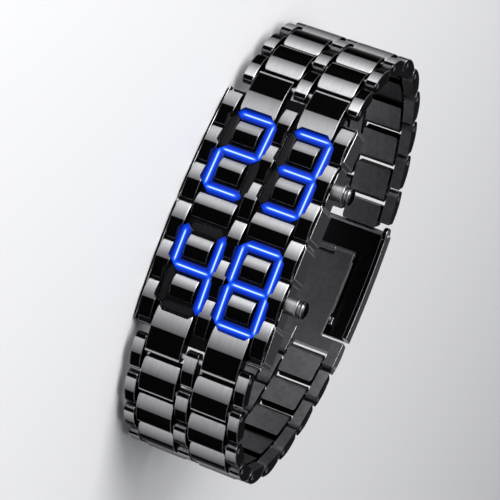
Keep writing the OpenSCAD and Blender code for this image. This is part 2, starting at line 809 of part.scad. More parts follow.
module spring_bar() {
    color("#7d7d82") translate([0, 0, mid_z - band_half + fit_gap]) on_clasp(clasp_len)
        cylinder(r = bar_r, h = 2 * (band_half - fit_gap));
}

// The loop is centred on the origin, front to clasp
module centred() {
    translate([0, -loop_h / 2, 0]) children();
}

centred() front_plate();
centred() lit_segments();
centred() unlit_segments();
centred() light_frame();
centred() lamp_board();
centred() lamp_chips();
centred() coin_cells();
centred() contact_springs();
centred() case_middle();
centred() back_gasket();
centred() back_cover();
centred() back_screws();
centred() button_tubes();
centred() upper_button();
centred() lower_button();
centred() upper_button_spring();
centred() lower_button_spring();
centred() button_seals();
centred() end_pins();
for (i = [1:links]) {
    centred() upper_link(i);
    centred() lower_link(i);
    centred() lower_pin(i);
}
for (i = [1:links - 1]) centred() upper_pin(i);
centred() clasp_inner_blade();
centred() clasp_outer_blade();
centred() clasp_cover();
centred() fold_pin();
centred() cover_pin();
centred() spring_bar();
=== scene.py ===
import json
import math

import bmesh
import bpy
from mathutils import Matrix, Vector

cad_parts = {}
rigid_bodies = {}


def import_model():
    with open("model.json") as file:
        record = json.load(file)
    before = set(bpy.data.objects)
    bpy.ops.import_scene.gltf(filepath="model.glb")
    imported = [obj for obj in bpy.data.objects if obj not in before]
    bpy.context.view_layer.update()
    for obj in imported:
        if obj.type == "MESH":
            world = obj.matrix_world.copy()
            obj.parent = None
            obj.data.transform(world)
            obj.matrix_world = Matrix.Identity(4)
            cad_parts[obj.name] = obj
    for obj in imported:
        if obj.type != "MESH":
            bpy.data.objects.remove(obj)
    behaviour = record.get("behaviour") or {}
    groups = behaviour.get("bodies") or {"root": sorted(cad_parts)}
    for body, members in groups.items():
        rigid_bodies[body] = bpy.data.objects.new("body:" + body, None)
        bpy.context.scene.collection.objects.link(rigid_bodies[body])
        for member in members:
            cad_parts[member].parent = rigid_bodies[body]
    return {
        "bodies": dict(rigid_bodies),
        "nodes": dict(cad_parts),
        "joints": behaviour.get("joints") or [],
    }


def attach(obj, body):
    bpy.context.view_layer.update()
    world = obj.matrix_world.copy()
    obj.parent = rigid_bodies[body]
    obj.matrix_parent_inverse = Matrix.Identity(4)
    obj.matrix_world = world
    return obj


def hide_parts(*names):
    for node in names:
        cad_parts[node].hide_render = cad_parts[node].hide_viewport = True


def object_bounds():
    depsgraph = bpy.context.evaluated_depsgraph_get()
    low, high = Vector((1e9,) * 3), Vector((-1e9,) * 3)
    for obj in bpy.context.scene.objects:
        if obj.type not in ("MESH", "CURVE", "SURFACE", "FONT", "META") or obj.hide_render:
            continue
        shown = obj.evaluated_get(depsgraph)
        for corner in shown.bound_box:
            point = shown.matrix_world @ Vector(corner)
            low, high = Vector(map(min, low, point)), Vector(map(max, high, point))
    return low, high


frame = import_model()
nodes = frame["nodes"]
cad_box = [list(corner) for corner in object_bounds()]
mm = 0.001

# The watch stands on its 9 o'clock side, with the front's highest crown at crown_y. The camera looks down
# on the front from its right, from far away, so that the column lines of the blocks stay nearly parallel.
crown_y = cad_box[0][1]
camera_right = Vector((-0.3777801, 0.2476050, 0.8921737))
camera_up = Vector((-0.9186452, -0.2205844, -0.3277704))
camera_back = Vector((0.1156420, -0.9434163, 0.3107935))
camera_place = Vector((59.4086 * mm, crown_y - 444.6931 * mm, 164.4715 * mm))
camera = bpy.data.objects.new("camera", bpy.data.cameras.new("camera"))
bpy.context.scene.collection.objects.link(camera)
camera.matrix_world = Matrix([
    (camera_right[i], camera_up[i], camera_back[i], camera_place[i]) for i in range(3)] + [(0, 0, 0, 1)])
camera.data.angle = 2 * math.atan(0.1)
camera.data.clip_start = 0.01
camera.data.clip_end = 20
bpy.context.scene.camera = camera
bpy.context.scene.view_settings.view_transform = "Standard"


# Front blocks: the crowned blocks of the front casting, black-plated steel. Each crown is satin on one
# half, where a pale highlight is painted on, and polished black on the other. The blocks are cast with the
# plate that carries them, and the digit trenches are milled through them afterwards, so each trench wall is
# sharp.
front_r = 101 * mm
row_pitch = 8.1 * mm
block_len = 7.4 * mm
crown_rise = 0.9 * mm
floor_depth = 1.4 * mm
plate_depth = 2.3 * mm
block_foot = 2.0 * mm
middle_z = 14 * mm
digit_z = 6.03 * mm
edge_round = 0.14 * mm
corner_round = 0.12 * mm
# How much of a front crown is satin, with the painted highlight, and how far its polished part runs on the
# along_block map.
front_highlight_share, front_end = 0.47, 0.9
crown_face, edge_face, cut_face = 0, 1, 2


def crown_drop(x, length, rise):
    """How far a crown of that length has dropped at x from its middle."""
    r = (length * length / 4 + rise * rise) / (2 * rise)
    return r - math.sqrt(max(r * r - x * x, 0))


def quarter(e, r):
    """How far a rounded edge of radius r is set back at a distance e from the face's end."""
    e = min(max(e, 0), r)
    return r - math.sqrt(max(r * r - (r - e) ** 2, 0))


def stations(low, high, soft, count):
    """Places along a block, closer together inside its rounded ends."""
    ends = [soft * (1 - math.cos(math.radians(a))) for a in (0, 25, 45, 65, 90)]
    inner = [low + soft + (high - low - 2 * soft) * i / count for i in range(1, count)]
    return [low + e for e in ends] + inner + [high - e for e in reversed(ends)]


def highlight_map(low, length, highlight_share, turned_round=False, start=0.0, end=1.0):
    """Along a block, 0 to 0.5 is the satin part of its crown, painted with the highlight, and 0.5 to end the
    polished part.
    """
    def along(x):
        t = (x - low) / length
        t = 1 - t if turned_round else t
        if t < highlight_share:
            return 0.5 * (t - start) / (highlight_share - start)
        return 0.5 + (end - 0.5) * (t - highlight_share) / (1 - highlight_share)
    return along


def loft_block(mesh, place, xs, top, foot, half, z, along, edge=edge_round):
    """Skins a block through its cross sections at xs, and tells crown, rounded edges and foot apart.

    A cross section has ten points: the foot's first corner, four on each rounded edge, and the foot's last
    corner. The block's first and last four strips are its rounded ends."""
    layer = mesh.loops.layers.uv.get("along_block") or mesh.loops.layers.uv.new("along_block")
    steps = (0, 30, 60, 90)
    rings = []
    for x in xs:
        y0, y1, w = top(x), foot(x), half(x)
        b = min(edge, w * 0.9, (y1 - y0) * 0.45)
        points = [(y1, -w)]
        points += [(y0 + b - b * math.sin(math.radians(a)), -w + b - b * math.cos(math.radians(a)))
                   for a in steps]
        points += [(y, -w2) for y, w2 in reversed(points[1:])]
        points.append((y1, w))
        rings.append([mesh.verts.new(place @ Vector((x, y, z + w2))) for y, w2 in points])
    roundings, top_strip, foot_strip, end_strips = (1, 2, 3, 5, 6, 7), 4, 9, 4
    strips = len(rings) - 1
    for i in range(strips):
        near_end = i < end_strips or i >= strips - end_strips
        for j in range(len(rings[i])):
            k = (j + 1) % len(rings[i])
            face = mesh.faces.new((rings[i][j], rings[i][k], rings[i + 1][k], rings[i + 1][j]))
            face.smooth = True
            if j == foot_strip:
                face.material_index = cut_face
            elif j in roundings or (near_end and j == top_strip):
                face.material_index = edge_face
            else:
                face.material_index = crown_face
            for loop, x in zip(face.loops, (xs[i], xs[i], xs[i + 1], xs[i + 1])):
                loop[layer].uv = (along(x), 1 if 0 < j < 8 else 0)
    mesh.faces.new(rings[0])
    mesh.faces.new(list(reversed(rings[-1])))


def on_front(s, depth=0.0):
    """Place on the curved front, s along it from the middle and that deep under the crowns."""
    a = s / front_r
    r = front_r - depth
    return Matrix.Translation((r * math.sin(a), crown_y + front_r - r * math.cos(a), 0)) @ Matrix.Rotation(
        a, 4, "Z")


def front_block(mesh, s, z, length, width):
    loft_block(
        mesh, on_front(s), stations(-length / 2, length / 2, edge_round, 12),
        lambda x: crown_drop(x, length, crown_rise) + quarter(length / 2 - abs(x), edge_round),
        lambda x: block_foot,
        lambda x: width / 2 - quarter(length / 2 - abs(x), corner_round), z,
        highlight_map(-length / 2, length, front_highlight_share, end=front_end))


def hexagon(length, width):
    """The corners of a segment's outline, whose two tips are cut at 45 degrees."""
    tip, side = length / 2, width / 2
    return [(-tip, 0), (side - tip, side), (tip - side, side),
            (tip, 0), (tip - side, -side), (side - tip, -side)]


def hexagon_prism(mesh, place, length, width, upright, low, high):
    """A six-sided mill, whose sides leave their own finish on what they cut."""
    plan = [(x, z) if upright else (-z, x) for x, z in hexagon(length, width)]
    rings = [[mesh.verts.new(place @ Vector((x, depth, z))) for x, z in plan] for depth in (low, high)]
    for j in range(6):
        wall = mesh.faces.new((rings[0][j], rings[0][j - 1], rings[1][j - 1], rings[1][j]))
        wall.material_index = cut_face
    mesh.faces.new(rings[0])
    mesh.faces.new(list(reversed(rings[1])))


def finished(mesh, name):
    """Turns a bmesh into an object in the scene, with its faces looking outward.

    Its three empty material slots keep crown, edge and cut faces apart while it is milled."""
    bmesh.ops.recalc_face_normals(mesh, faces=mesh.faces[:])
    data = bpy.data.meshes.new(name)
    mesh.to_mesh(data)
    mesh.free()
    for slot in range(3):
        data.materials.append(None)
    piece = bpy.data.objects.new(name, data)
    bpy.context.scene.collection.objects.link(piece)
    return piece


def apply_modifiers(piece):
    """Gives a piece the mesh that its modifiers make of it."""
    bpy.context.view_layer.update()
    solid = bpy.data.meshes.new_from_object(piece.evaluated_get(bpy.context.evaluated_depsgraph_get()))
    piece.modifiers.clear()
    piece.data = solid


def carve(piece, cutters):
    """Mills each cutter out of a piece, one after another."""
    for cutter in cutters:
        cut = piece.modifiers.new("cut", "BOOLEAN")
        cut.object = cutter
        cut.solver = "EXACT"
    apply_modifiers(piece)


def join(name, pieces):
    """Makes one mesh of several pieces that are one casting."""
    mesh = bmesh.new()
    for piece in pieces:
        mesh.from_mesh(piece.data)
        bpy.data.objects.remove(piece)
    return finished(mesh, name)


def soften(piece, width, segments=2, angle=40, clamp=True):
    """Breaks the sharp edges, gives the broken edge the piece's edge material, on most pieces a lighter
    colour that paints a highlight along it, and evens out the shading.
    """
    for face in piece.data.polygons:
        face.use_smooth = True
    bevel = piece.modifiers.new("broken edges", "BEVEL")
    bevel.width = width
    bevel.segments = segments
    bevel.limit_method = "ANGLE"
    bevel.angle_limit = math.radians(angle)
    bevel.material = edge_face
    bevel.miter_outer = "MITER_ARC"
    bevel.use_clamp_overlap = clamp
    shade = piece.modifiers.new("even shading", "WEIGHTED_NORMAL")
    shade.keep_sharp = True


def place_of_segment(side, across, i):
    """Where segment i of a digit lies: s along the front, z across it, and whether it is upright.

    They are numbered top, upper right, lower right, bottom, lower left, upper left, middle."""
    along, out = [(-2, 0), (-1, 1), (1, 1), (2, 0), (1, -1), (-1, -1), (0, 0)][i]
    s = (side * 1.5 + along / 2) * row_pitch
    return s, middle_z + across * digit_z + out * digit_width / 2, out != 0


# Numerals: 23 over 48, in plain seven-segment figures. The trenches are milled wider than the windows that
# are pierced through their floor, and run on a little past each segment's tips.
digit_width = 7.9 * mm
window_width = 1.9 * mm
trench_width = 2.4 * mm
tip_gap = 0.5 * mm
trench_play = 0.54 * mm
mill_top, mill_foot = -1 * mm, 4 * mm
mill_reach = 8.7 * mm
two, three, four, eight = (1, 1, 0, 1, 1, 0, 1), (1, 1, 1, 1, 0, 0, 1), (0, 1, 1, 0, 0, 1, 1), (1,) * 7
digits = [(-1, -1, two), (-1, 1, three), (1, -1, four), (1, 1, eight)]
segments = [place_of_segment(side, across, i) + (lit[i],)
            for side, across, lit in digits for i in range(7)]


def segment_prisms(width, play, low, high):
    """A mill for each segment, as (s, z, mill)."""
    prisms = []
    for s, z, upright, lit in segments:
        mesh = bmesh.new()
        place = on_front(s) @ Matrix.Translation((0, 0, z))
        length = (row_pitch if upright else digit_width) - tip_gap + play
        hexagon_prism(mesh, place, length, width, upright, low, high)
        prisms.append((s, z, finished(mesh, "mill")))
    return prisms


trench_mills = segment_prisms(trench_width, trench_play, mill_top, mill_foot)
rows = [k * row_pitch for k in (-2.5, -1.5, -0.5, 0.5, 1.5, 2.5)]
digit_rows = [k * row_pitch for k in (-2, -1, 1, 2)]
low_edge_z, high_edge_z, edge_width, middle_width = 2.05 * mm, 25.95 * mm, 2.9 * mm, 2.6 * mm
digit_block, number_bar = (4.6 * mm, 5 * mm), (5 * mm, 8.2 * mm)
columns = {
    "front_blocks_9": [(s, low_edge_z, block_len, edge_width) for s in rows],
    "front_blocks_3": [(s, high_edge_z, block_len, edge_width) for s in rows],
    "front_blocks_middle": [(s, middle_z, block_len, middle_width) for s in rows],
    "digit_blocks": [(s, middle_z + side * digit_z, *digit_block) for s in digit_rows for side in (-1, 1)],
    "number_bars": [(0, middle_z + side * digit_z, *number_bar) for side in (-1, 1)],
}
front_pieces = []
for column, places in columns.items():
    blocks = []
    for s, z, length, width in places:
        mesh = bmesh.new()
        front_block(mesh, s, z, length, width)
        block = finished(mesh, "block")
        near = [mill for ms, mz, mill in trench_mills
                if abs(ms - s) < (length + mill_reach) / 2 and abs(mz - z) < (width + mill_reach) / 2]
        if near:
            carve(block, near)
        blocks.append(block)
    front_pieces.append(join(column, blocks))

# End blocks: the two wide blocks at each end of the casting carry the bracelet's first pins, so they are as
# thick as a link outside the case and are rounded about the pin. The room for the case is milled out of
# their foot, and the pin's bore is drilled through.
link_thick = 3.2 * mm
knuckle_r = 1.65 * mm
bore_r, drill_length = 0.63 * mm, 40 * mm
end_extra = 2.2 * mm
# How much of an end block's crown is satin, with the painted highlight.
end_width, end_highlight_share = 7.5 * mm, 0.45
core_half, core_depth = 24.45 * mm, 6 * mm
core_low, core_high = -1 * mm, 29 * mm
end_angle = (3.25 * row_pitch + end_extra) / front_r
end_pin = ((front_r - link_thick / 2) * math.sin(end_angle),
           front_r - (front_r - link_thick / 2) * math.cos(end_angle))
wide_corner = 0.55 * mm


def knuckle_stations(low, high, soft):
    """Places along a link block whose far end is rounded about the pin at high - knuckle_r."""
    pin = high - knuckle_r
    body = stations(low, pin + 1.0 * mm, soft, 14)[:-5]  # without the rounded end
    turn = [pin + knuckle_r * math.sin(math.radians(a)) for a in (37, 45, 53, 60, 67, 73, 79, 84, 88)]
    return body + turn


def skin(mesh, rings):
    """Closes a bar through its cross sections, which have four corners each."""
    for a, b in zip(rings, rings[1:]):
        for j in range(4):
            mesh.faces.new((a[j], a[j - 1], b[j - 1], b[j]))
    mesh.faces.new(rings[0])
    mesh.faces.new(rings[-1])


def drill(name, matrices):
    """A round drill for the pins, once at each place."""
    mesh = bmesh.new()
    for matrix in matrices:
        bmesh.ops.create_cone(mesh, segments=32, radius1=bore_r, radius2=bore_r, depth=drill_length,
                              cap_ends=True, matrix=matrix)
    return finished(mesh, name)


def wide_block(mesh, place, z, width, stop=None, corner=wide_corner, highlight_share=0.42, turned_round=False,
               start=0.0, extra=0.0):
    """A wide block in its link's frame: pin at the origin, next pin one pitch on, front at -y."""
    length, pin = block_len + extra, row_pitch
    middle = row_pitch * 3 / 4 - extra / 2
    low, high = middle - length / 2, pin + knuckle_r

    def top(x):
        y = crown_drop(x - middle, length, crown_rise) - link_thick / 2 + quarter(x - low, edge_round)
        if x > pin:
            y = max(y, -math.sqrt(max(knuckle_r ** 2 - (x - pin) ** 2, 0)))
        return y

    def foot(x):
        y = link_thick / 2
        if x > pin:
            y = min(y, math.sqrt(max(knuckle_r ** 2 - (x - pin) ** 2, 0)))
        return y

    xs = knuckle_stations(low, high, edge_round)
    if stop:
        xs = [x for x in xs if x < stop - 0.05 * mm] + [stop]
    far = stop or high
    loft_block(mesh, place, xs, top, foot,
               lambda x: width / 2 - quarter(min(x - low, far - x), corner) * 0.85, z,
               highlight_map(low, length, highlight_share, turned_round, start))


mesh = bmesh.new()
for side in (0, 1):
    flip = Matrix.Scale(-1, 4, (1, 0, 0)) if side else Matrix.Identity(4)
    tilt = end_angle - (row_pitch / 4 + end_extra / 2) / front_r
    place = flip @ Matrix.Translation((end_pin[0], crown_y + end_pin[1], 0)) @ Matrix.Rotation(
        tilt, 4, "Z") @ Matrix.Translation((-row_pitch, 0, 0))
    for across in (-1, 1):
        wide_block(mesh, place, middle_z + across * digit_z, end_width, highlight_share=end_highlight_share, extra=end_extra)
end_blocks = finished(mesh, "end_blocks")

mesh = bmesh.new()
rings = []
for i in range(25):
    x = -core_half + 2 * core_half * i / 24
    ring = []
    for depth, z in ((plate_depth, core_low), (plate_depth, core_high), (core_depth, core_high),
                     (core_depth, core_low)):
        r = front_r - depth
        ring.append(mesh.verts.new((x, crown_y + front_r - math.sqrt(r * r - x * x), z)))
    rings.append(ring)
skin(mesh, rings)
core_mill = finished(mesh, "mill")
pin_drill = drill("mill", [Matrix.Translation((side * end_pin[0], crown_y + end_pin[1], middle_z))
                           for side in (-1, 1)])
near = [mill for ms, mz, mill in trench_mills if abs(ms) > 2 * row_pitch]
carve(end_blocks, near + [core_mill, pin_drill])
front_pieces.append(end_blocks)

# Trench plate: the thin curved floor of the digit trenches, one casting with the blocks, pierced by a
# six-sided window for each segment. At both ends it runs on as a narrow web that joins the end blocks.
plate_half = 23.0 * mm
plate_low, plate_high = 0.72 * mm, 27.28 * mm
web_half, web_end, web_bite, web_in = 2.48 * mm, 26.4 * mm, 0.5 * mm, 0.1 * mm
mesh = bmesh.new()
rings = []
for i in range(35):
    s = -plate_half + 2 * plate_half * i / 34
    ring = []
    for depth, z in ((floor_depth, plate_low), (floor_depth, plate_high), (plate_depth, plate_high),
                     (plate_depth, plate_low)):
        ring.append(mesh.verts.new(on_front(s, depth) @ Vector((0, 0, z))))
    rings.append(ring)
skin(mesh, rings)
trench_plate = finished(mesh, "trench_plate")
window_mills = segment_prisms(window_width, 0, 0, mill_foot)
carve(trench_plate, [mill for ms, mz, mill in window_mills])
mesh = bmesh.new()
web_top, web_foot = floor_depth + web_in, plate_depth - web_in
for side in (-1, 1):
    rings = []
    for s in (plate_half - web_bite, (plate_half + web_end) / 2, web_end):
        ring = []
        for depth, z in ((web_top, -web_half), (web_top, web_half), (web_foot, web_half),
                         (web_foot, -web_half)):
            ring.append(mesh.verts.new(on_front(side * s, depth) @ Vector((0, 0, middle_z + z))))
        rings.append(ring)
    skin(mesh, rings)
trench_plate = join("trench_plate", [trench_plate, finished(mesh, "webs")])
front_pieces.append(trench_plate)
for mill in [m for s, z, m in trench_mills + window_mills] + [core_mill, pin_drill]:
    bpy.data.objects.remove(mill)


# Finishes of the front casting: hard black plating over steel. A shared group puts fine grain, smears of
# handling and worn patches into each of them, and the bare steel shows where the plating is rubbed through.
colour_a, colour_b, colour_out = 6, 7, 2  # the colour sockets of a Mix node
float_a, float_b, float_out = 2, 3, 0  # and its number sockets
smear_scale, grain_scale, grain_pull = 260, 9000, (1, 1, 0.04)


def make_plating_group():
    """Colour, roughness and height of worn plating, from its own colour to the bare steel's."""
    group = bpy.data.node_groups.new("worn_plating", "ShaderNodeTree")
    for name, kind, value in (
            ("Plating", "NodeSocketColor", (0.05, 0.05, 0.055, 1)),
            ("Bare steel", "NodeSocketColor", (0.5, 0.5, 0.52, 1)),
            ("Rubbed", "NodeSocketFloat", 0.0), ("Patch size", "NodeSocketFloat", 900.0),
            ("Polish", "NodeSocketFloat", 0.3), ("Smear", "NodeSocketFloat", 0.06),
            ("Grain", "NodeSocketFloat", 0.3)):
        socket = group.interface.new_socket(name, in_out="INPUT", socket_type=kind)
        socket.default_value = value
    for name, kind in (("Color", "NodeSocketColor"), ("Roughness", "NodeSocketFloat"),
                       ("Height", "NodeSocketFloat")):
        group.interface.new_socket(name, in_out="OUTPUT", socket_type=kind)
    new, link = group.nodes.new, group.links.new
    entry, leave = new("NodeGroupInput"), new("NodeGroupOutput")
    where = new("ShaderNodeTexCoord")
    smear = new("ShaderNodeTexNoise")
    smear.inputs["Scale"].default_value = smear_scale
    smear.inputs["Detail"].default_value = 4
    link(where.outputs["Object"], smear.inputs["Vector"])
    patch = new("ShaderNodeTexNoise")
    patch.inputs["Detail"].default_value = 5
    link(where.outputs["Object"], patch.inputs["Vector"])
    link(entry.outputs["Patch size"], patch.inputs["Scale"])
    stretch = new("ShaderNodeMapping")
    stretch.inputs["Scale"].default_value = grain_pull
    link(where.outputs["Object"], stretch.inputs["Vector"])
    grain = new("ShaderNodeTexNoise")
    grain.inputs["Scale"].default_value = grain_scale
    grain.inputs["Detail"].default_value = 2
    link(stretch.outputs["Vector"], grain.inputs["Vector"])
    worn = new("ShaderNodeMapRange")
    worn.inputs["From Min"].default_value = 0.35
    worn.inputs["From Max"].default_value = 0.6
    worn.inputs["To Min"].default_value = 0.35
    worn.inputs["To Max"].default_value = 1
    link(patch.outputs["Fac"], worn.inputs["Value"])
    rubbed = new("ShaderNodeMath")
    rubbed.operation = "MULTIPLY"
    link(worn.outputs["Result"], rubbed.inputs[0])
    link(entry.outputs["Rubbed"], rubbed.inputs[1])
    mix = new("ShaderNodeMix")
    mix.data_type = "RGBA"
    link(rubbed.outputs["Value"], mix.inputs["Factor"])
    link(entry.outputs["Plating"], mix.inputs[colour_a])
    link(entry.outputs["Bare steel"], mix.inputs[colour_b])
    tone = new("ShaderNodeMapRange")
    tone.inputs["To Min"].default_value = 0.9
    tone.inputs["To Max"].default_value = 1.1
    link(smear.outputs["Fac"], tone.inputs["Value"])
    colour = new("ShaderNodeVectorMath")
    colour.operation = "SCALE"
    link(mix.outputs[colour_out], colour.inputs[0])
    link(tone.outputs["Result"], colour.inputs["Scale"])
    link(colour.outputs["Vector"], leave.inputs["Color"])
    centred = new("ShaderNodeMath")
    centred.operation = "SUBTRACT"
    centred.inputs[1].default_value = 0.5
    link(smear.outputs["Fac"], centred.inputs[0])
    rough = new("ShaderNodeMath")
    rough.operation = "MULTIPLY_ADD"
    link(centred.outputs["Value"], rough.inputs[0])
    link(entry.outputs["Smear"], rough.inputs[1])
    link(entry.outputs["Polish"], rough.inputs[2])
    link(rough.outputs["Value"], leave.inputs["Roughness"])
    height = new("ShaderNodeMath")
    height.operation = "MULTIPLY"
    link(grain.outputs["Fac"], height.inputs[0])
    link(entry.outputs["Grain"], height.inputs[1])
    link(height.outputs["Value"], leave.inputs["Height"])
    return group


worn_plating = make_plating_group()


def plated_steel(name, plating, rubbed, polish, grain=0.3, edge_tint=1.0):
    """Plated steel; an edge_tint under 1 keeps it dark where it is seen at a grazing angle."""
    finish = bpy.data.materials.new(name)
    finish.use_nodes = True
    tree = finish.node_tree
    surface = tree.nodes["Principled BSDF"]
    surface.inputs["Metallic"].default_value = 1
    surface.inputs["Specular Tint"].default_value = (edge_tint, edge_tint, edge_tint, 1)
    worn = tree.nodes.new("ShaderNodeGroup")
    worn.node_tree = worn_plating
    for socket, value in (("Plating", plating), ("Rubbed", rubbed), ("Polish", polish), ("Grain", grain)):
        worn.inputs[socket].default_value = value
    tree.links.new(worn.outputs["Color"], surface.inputs["Base Color"])
    tree.links.new(worn.outputs["Roughness"], surface.inputs["Roughness"])
    bump = tree.nodes.new("ShaderNodeBump")
    bump.inputs["Strength"].default_value = 0.15
    bump.inputs["Distance"].default_value = 0.00002
    tree.links.new(worn.outputs["Height"], bump.inputs["Height"])
    tree.links.new(bump.outputs["Normal"], surface.inputs["Normal"])
    return finish


def paint_crown_highlights(finish, highlight_near_tone, highlight_far_tone, rim_highlight_tone, rough):
    """Paints a pale highlight on the satin part of each crown, brightest at its outer end, and a thin painted
    highlight line near the other end.

    It ends sharply at the middle of the along_block map, past which the crown stays black and polished."""
    tree = finish.node_tree
    new, link = tree.nodes.new, tree.links.new
    surface = tree.nodes["Principled BSDF"]
    block = new("ShaderNodeUVMap")
    block.uv_map = "along_block"
    split = new("ShaderNodeSeparateXYZ")
    link(block.outputs["UV"], split.inputs["Vector"])

    def ramp(value, start, end, low, high):
        fade = new("ShaderNodeMapRange")
        for socket, number in (("From Min", start), ("From Max", end), ("To Min", low), ("To Max", high)):
            fade.inputs[socket].default_value = number
        link(value, fade.inputs["Value"])
        return fade.outputs["Result"]

    def times(a, b):
        product = new("ShaderNodeMath")
        product.operation = "MULTIPLY"
        link(a, product.inputs[0])
        link(b, product.inputs[1])
        return product.outputs["Value"]

    def blend(mask, a, b, socket):
        mix = new("ShaderNodeMix")
        mix.data_type = "RGBA" if socket == "Base Color" else "FLOAT"
        kinds = (colour_a, colour_b, colour_out) if socket == "Base Color" else (float_a, float_b, float_out)
        link(mask, mix.inputs["Factor"])
        for index, value in zip(kinds, (a, b)):
            if isinstance(value, (tuple, float)):
                mix.inputs[index].default_value = value
            else:
                link(value, mix.inputs[index])
        link(mix.outputs[kinds[-1]], surface.inputs[socket])
        return mix.outputs[kinds[-1]]

    along = split.outputs["X"]
    crown = ramp(split.outputs["Y"], 0.4, 0.6, 0, 1)
    begun = times(crown, ramp(along, -0.03, 0.0, 0, 1))
    # The painted highlight: from the crown's outer end to the middle of the along_block map.
    painted_highlight = times(begun, ramp(along, 0.485, 0.505, 1, 0))
    # A thin painted highlight line near the crown's far end.
    rim_highlight = times(ramp(along, 0.93, 0.95, 0, 1), ramp(along, 0.96, 0.98, 1, 0))
    rim_highlight = times(crown, rim_highlight)
    # The painted highlight fades from its near tone at the outer end to its far tone at the middle, mottled
    # by fine strokes.
    tone = new("ShaderNodeMix")
    tone.data_type = "RGBA"
    tone.inputs[colour_a].default_value = highlight_near_tone
    tone.inputs[colour_b].default_value = highlight_far_tone
    link(ramp(along, 0.0, 0.5, 0, 1), tone.inputs["Factor"])
    where = new("ShaderNodeTexCoord")
    drawn = new("ShaderNodeMapping")
    drawn.inputs["Scale"].default_value = (0.08, 0.08, 1)
    link(where.outputs["Object"], drawn.inputs["Vector"])
    strokes = new("ShaderNodeTexNoise")
    strokes.inputs["Scale"].default_value = 6000
    strokes.inputs["Detail"].default_value = 3
    link(drawn.outputs["Vector"], strokes.inputs["Vector"])
    brushed_highlight = new("ShaderNodeVectorMath")
    brushed_highlight.operation = "SCALE"
    link(tone.outputs[colour_out], brushed_highlight.inputs[0])
    link(ramp(strokes.outputs["Fac"], 0.3, 0.7, 0.9, 1.08), brushed_highlight.inputs["Scale"])
    worn = tree.nodes["Group"]
    # The painted highlight and its line take the place of the plating's colour; the highlight part also gets
    # its own roughness.
    rimmed = blend(rim_highlight, worn.outputs["Color"], rim_highlight_tone, "Base Color")
    blend(painted_highlight, rimmed, brushed_highlight.outputs["Vector"], "Base Color")
    blend(painted_highlight, worn.outputs["Roughness"], rough, "Roughness")


def dress(piece, finishes, body=None, replaced=()):
    """Gives a piece its materials, and says what carries it and which solids it stands for."""
    slots = piece.data.materials
    while len(slots) < len(finishes):
        slots.append(None)
    while len(slots) > len(finishes):
        slots.pop()
    for i, finish in enumerate(finishes):
        slots[i] = finish
    if body:
        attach(piece, body)
    if replaced:
        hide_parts(*replaced)


# Crowns: near-black plating, with a pale highlight painted on the satin half of each crown and a thin painted
# highlight line near its far end.
black_crowns = plated_steel("black_crowns", (0.002, 0.002, 0.0022, 1), 0.0, 0.14, edge_tint=0.5)
paint_crown_highlights(black_crowns, (0.52, 0.52, 0.525, 1), (0.13, 0.13, 0.135, 1), (0.5, 0.5, 0.505, 1), 0.42)
# The rounded edges of the crowns: a lighter plating with rubbed patches, so that a painted highlight runs
# along each edge, and the same painted crown highlight.
crown_edges = plated_steel("crown_edges", (0.05, 0.05, 0.053, 1), 0.3, 0.26)
paint_crown_highlights(crown_edges, (0.6, 0.6, 0.605, 1), (0.2, 0.2, 0.205, 1), (0.6, 0.6, 0.605, 1), 0.36)
front_edges = plated_steel("front_edges", (0.012, 0.012, 0.013, 1), 0.15, 0.26)
paint_crown_highlights(front_edges, (0.6, 0.6, 0.605, 1), (0.2, 0.2, 0.205, 1), (0.1, 0.1, 0.105, 1), 0.36)
# The broken edges of the case and its small parts: pale grey, a painted highlight along each edge, with
# rubbed patches of bare steel.
edge_wear_and_highlight = plated_steel("edge_wear_and_highlight", (0.3, 0.3, 0.305, 1), 0.5, 0.24)
inner_satin = plated_steel("inner_satin", (0.13, 0.13, 0.134, 1), 0.15, 0.36, grain=0.6)
trench_black = plated_steel("trench_black", (0.005, 0.005, 0.0055, 1), 0.0, 0.3)
for piece in front_pieces:
    plain = piece.name == "trench_plate"
    soften(piece, 0.07 * mm if plain else 0.09 * mm)
    edges = crown_edges if piece.name == "end_blocks" else front_edges
    dress(piece, [trench_black, edge_wear_and_highlight, trench_black] if plain else [black_crowns, edges, inner_satin],
          "case", ["front_plate"])

# Segment lenses: six-sided blue or smoked lenses pressed into the windows. A lit one carries painted glow in
# place of the lamp behind it, spread over the whole width of the trench, with a thin pale painted line where
# its lamp would shine straight through.
lens_depth = 1.55 * mm
lens_play = 0.04 * mm
dome = 0.12 * mm
flange = 0.06 * mm
side_per_tip = 2.83  # how much longer a hexagon gets for each unit that its sides stand out
met_stretch, free_stretch = 0.8, 1.0


